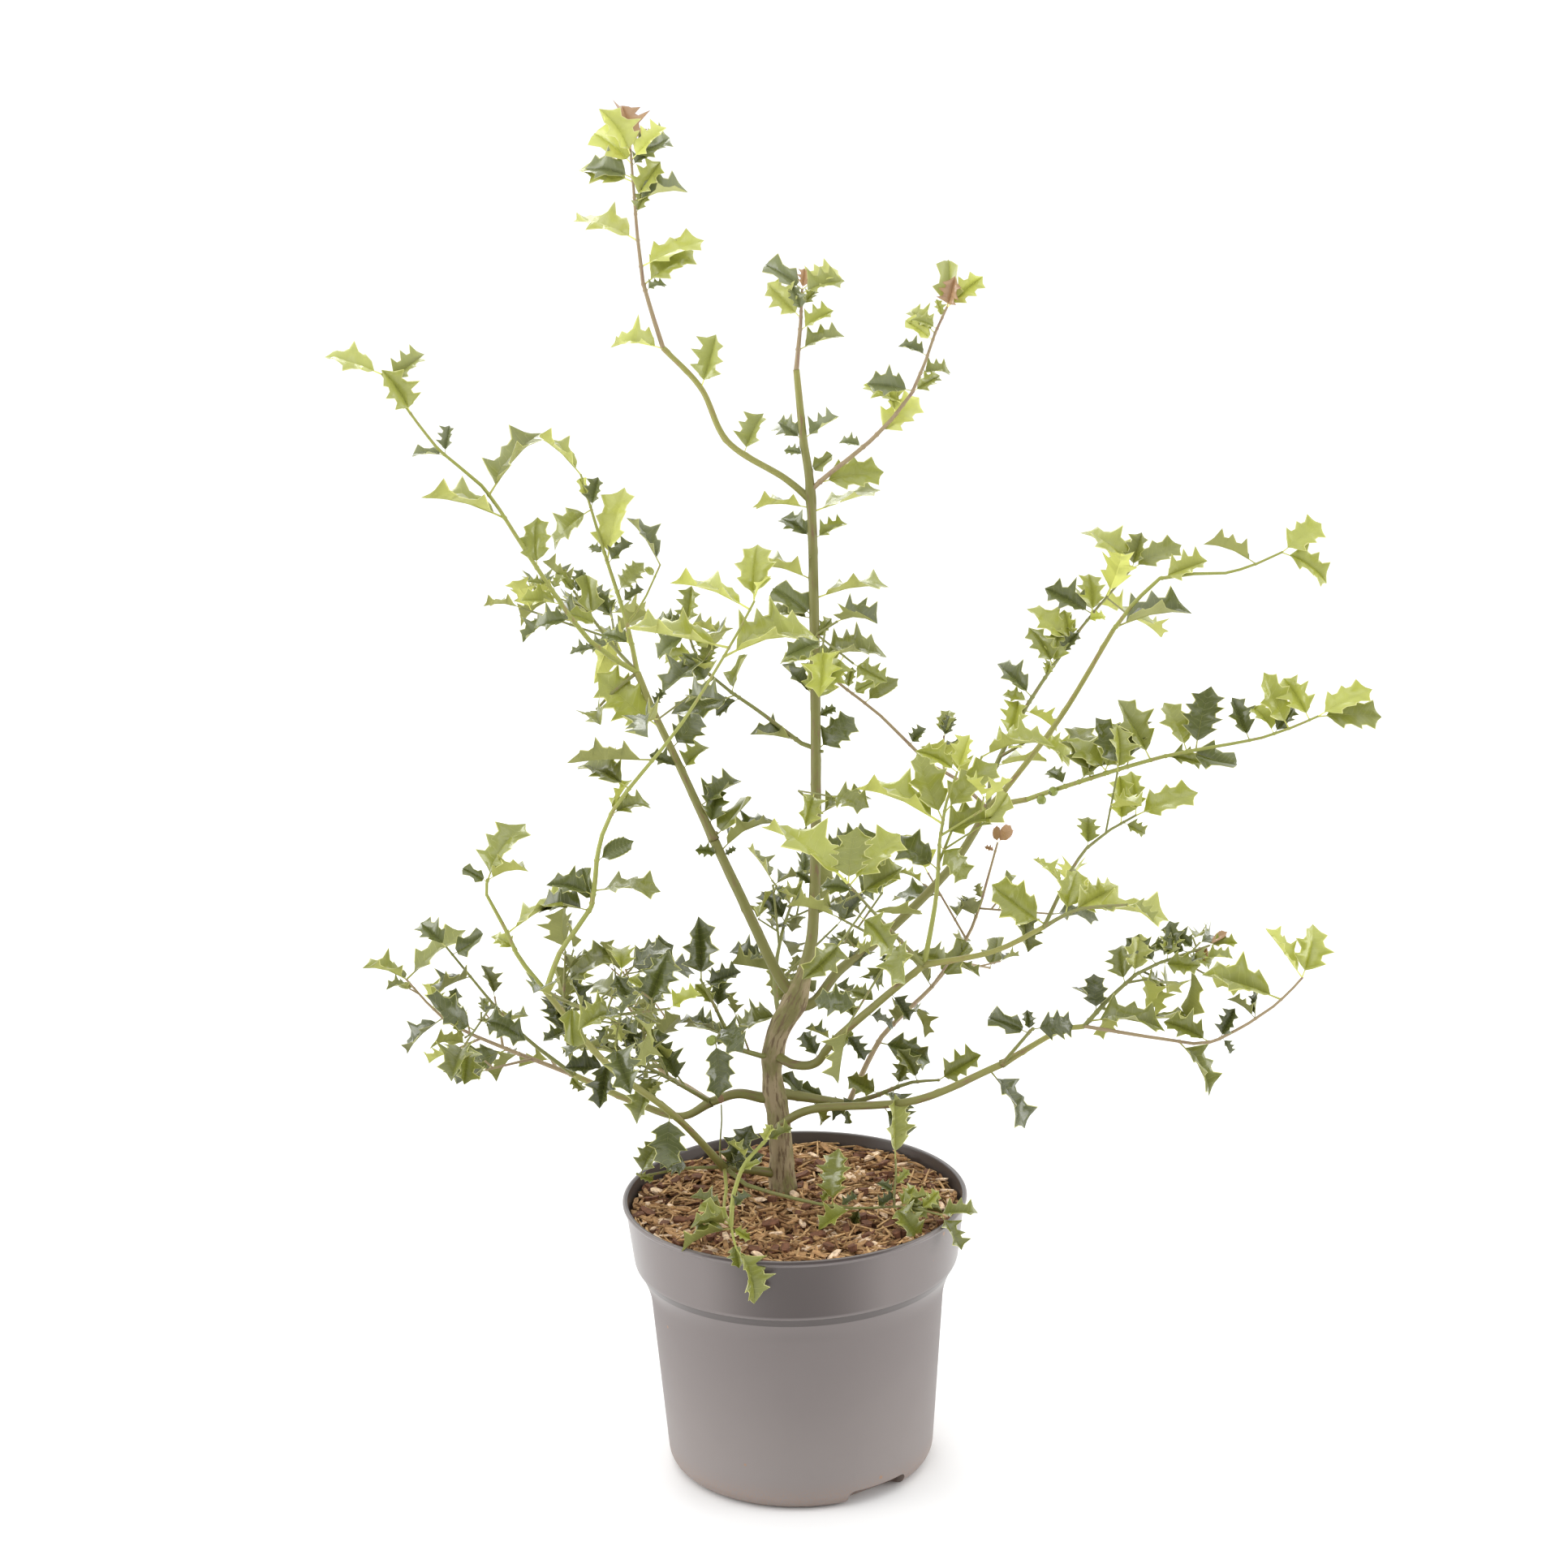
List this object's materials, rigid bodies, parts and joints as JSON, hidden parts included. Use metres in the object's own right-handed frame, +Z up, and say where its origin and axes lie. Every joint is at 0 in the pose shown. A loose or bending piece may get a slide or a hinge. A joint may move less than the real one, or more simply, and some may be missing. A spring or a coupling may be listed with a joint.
{
  "type": "young holly shrub in a nursery pot",
  "caption": "Open, twiggy young holly with spiny leaves, a forked woody trunk and spreading boughs, in a round tapered nursery pot filled with wood-chip mulch.",
  "frame": {"origin": "middle of the pot's flat underside", "axes": "+Z up along the pot's axis, -Y towards the front of the plant, +X to its right"},
  "size_m": [0.8138, 0.5015, 1.1151],
  "materials": {
    "pot": "moulded matt taupe grey with a soft sheen",
    "mulch": "dry wood fibre and bark chips",
    "bark": "grey-brown fissured bark with green algae tints, olive green and smoother on younger wood",
    "foliage": "glossy dark to yellow-green spiny leaves with paler, duller undersides"
  },
  "bodies": {
    "root": {"bough_left_foot": "bark", "bough_left_front": "bark", "bough_left_low": "bark", "bough_left_low_outer": "bark", "bough_right_front": "bark", "bough_right_front_outer": "bark", "bough_right_low": "bark", "bough_right_low_back": "bark", "bough_right_low_outer": "bark", "bough_right_main": "bark", "bough_right_middle": "bark", "bough_right_outer": "bark", "bough_tall_left_lower": "bark", "bough_tall_left_upper": "bark", "bough_top_left": "bark", "mulch": "mulch", "pot": "pot", "spray_back_low": "foliage", "spray_brown_shoot": "foliage", "spray_centre_left": "foliage", "spray_crown_top": "foliage", "spray_leader_fan": "foliage", "spray_leader_foot": "foliage", "spray_leader_high": "foliage", "spray_leader_low": "foliage", "spray_leader_middle": "foliage", "spray_leader_tip": "foliage", "spray_leader_upper": "foliage", "spray_left_arch": "foliage", "spray_left_back": "foliage", "spray_left_front_inner": "foliage", "spray_left_front_tip": "foliage", "spray_left_inner": "foliage", "spray_left_low_back": "foliage", "spray_left_low_inner": "foliage", "spray_left_low_middle": "foliage", "spray_left_low_tip": "foliage", "spray_left_low_upper": "foliage", "spray_left_side": "foliage", "spray_left_spur": "foliage", "spray_pot_front": "foliage", "spray_pot_left": "foliage", "spray_pot_right": "foliage", "spray_right_centre": "foliage", "spray_right_front_tip": "foliage", "spray_right_front_upper": "foliage", "spray_right_inner_shoot": "foliage", "spray_right_low_back_tip": "foliage", "spray_right_low_middle": "foliage", "spray_right_low_tip": "foliage", "spray_right_low_upper": "foliage", "spray_right_middle_tip": "foliage", "spray_right_outer_tip": "foliage", "spray_right_upper": "foliage", "spray_rosette": "foliage", "spray_tall_left_tip": "foliage", "spray_thin_back": "foliage", "spray_top_left_shoot": "foliage", "spray_top_right": "foliage", "trunk": "bark"}
  },
  "joints": []
}
